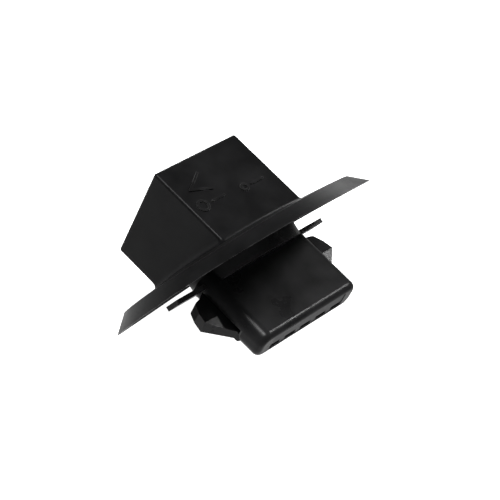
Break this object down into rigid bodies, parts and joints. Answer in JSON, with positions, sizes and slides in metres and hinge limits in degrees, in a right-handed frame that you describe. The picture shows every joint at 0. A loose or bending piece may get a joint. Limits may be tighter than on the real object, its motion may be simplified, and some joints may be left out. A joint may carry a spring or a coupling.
{
  "type": "plug-in relay",
  "caption": "Black moulded relay box on a round dished spring flange, with bayonet lugs and a flat plug nose with side latches below; a coil, armature and changeover contacts are inside.",
  "frame": {"origin": "centre of the flange's seat circle, on the long axis of the relay", "axes": "+Y out of the top of the box, away from the plug; +Z out of the marked face; +X across the box along the long side of the nose"},
  "size_m": [0.0673, 0.0448, 0.0626],
  "materials": {
    "black_plastic": "satin moulded",
    "nose_plastic": "semi-gloss moulded",
    "carrier_plastic": "satin",
    "base_plastic": "satin",
    "bobbin_plastic": "satin natural",
    "pusher_plastic": "satin natural",
    "gasket_rubber": "soft",
    "screw_steel": "zinc plated",
    "magnet_steel": "nickel plated",
    "spring_steel": "rolled",
    "copper_wire": "enamelled copper",
    "coil_tape": "amber tape",
    "spring_bronze": "rolled bronze",
    "contact_silver": "silver",
    "terminal_brass": "tinned brass"
  },
  "bodies": {
    "housing": {"armature_spring": "spring_steel", "bobbin": "bobbin_plastic", "closed_contact": "contact_silver", "closed_contact_arm": "terminal_brass", "coil_lead_end": "copper_wire", "coil_lead_start": "copper_wire", "coil_winding": "copper_wire", "coil_wrap": "coil_tape", "common_post": "terminal_brass", "core": "magnet_steel", "cover": "black_plastic", "cover_screws": "screw_steel", "hub_gasket": "gasket_rubber", "open_contact": "contact_silver", "open_contact_arm": "terminal_brass", "plug_body": "nose_plastic", "relay_base": "base_plastic", "terminal_carrier": "carrier_plastic", "terminal_coil_end": "terminal_brass", "terminal_coil_start": "terminal_brass", "terminal_common": "terminal_brass", "terminal_normally_closed": "terminal_brass", "terminal_normally_open": "terminal_brass", "yoke": "magnet_steel"},
    "armature": {"armature": "magnet_steel", "pusher": "pusher_plastic", "pusher_rivets": "screw_steel"},
    "contact_leaf": {"contact_leaf": "spring_bronze", "moving_contact": "contact_silver"},
    "latch_left": {"latch_left": "nose_plastic"},
    "latch_right": {"latch_right": "nose_plastic"}
  },
  "joints": [
    {"name": "armature_hinge", "type": "hinge", "parent": "housing", "child": "armature", "pos_m": [0, 0.01865, -0.0102], "axis": [1, 0, 0], "range_deg": [0, 4.2], "stiffness_Nm_per_rad": 0.001, "springref_deg": -11.46},
    {"name": "leaf_hinge", "type": "hinge", "parent": "housing", "child": "contact_leaf", "pos_m": [0, 0.014, 0.0098], "axis": [1, 0, 0], "range_deg": [-9.6, 0]},
    {"name": "latch_left_flex", "type": "hinge", "parent": "housing", "child": "latch_left", "pos_m": [-0.01655, -0.0149, 0], "axis": [0, 0, -1], "range_deg": [0, 6], "stiffness_Nm_per_rad": 0.05},
    {"name": "latch_right_flex", "type": "hinge", "parent": "housing", "child": "latch_right", "pos_m": [0.01655, -0.0149, 0], "axis": [0, 0, 1], "range_deg": [0, 6], "stiffness_Nm_per_rad": 0.05}
  ],
  "couplings": [
    {"joint": "leaf_hinge", "follows": "armature_hinge", "ratio": -2.25}
  ]
}
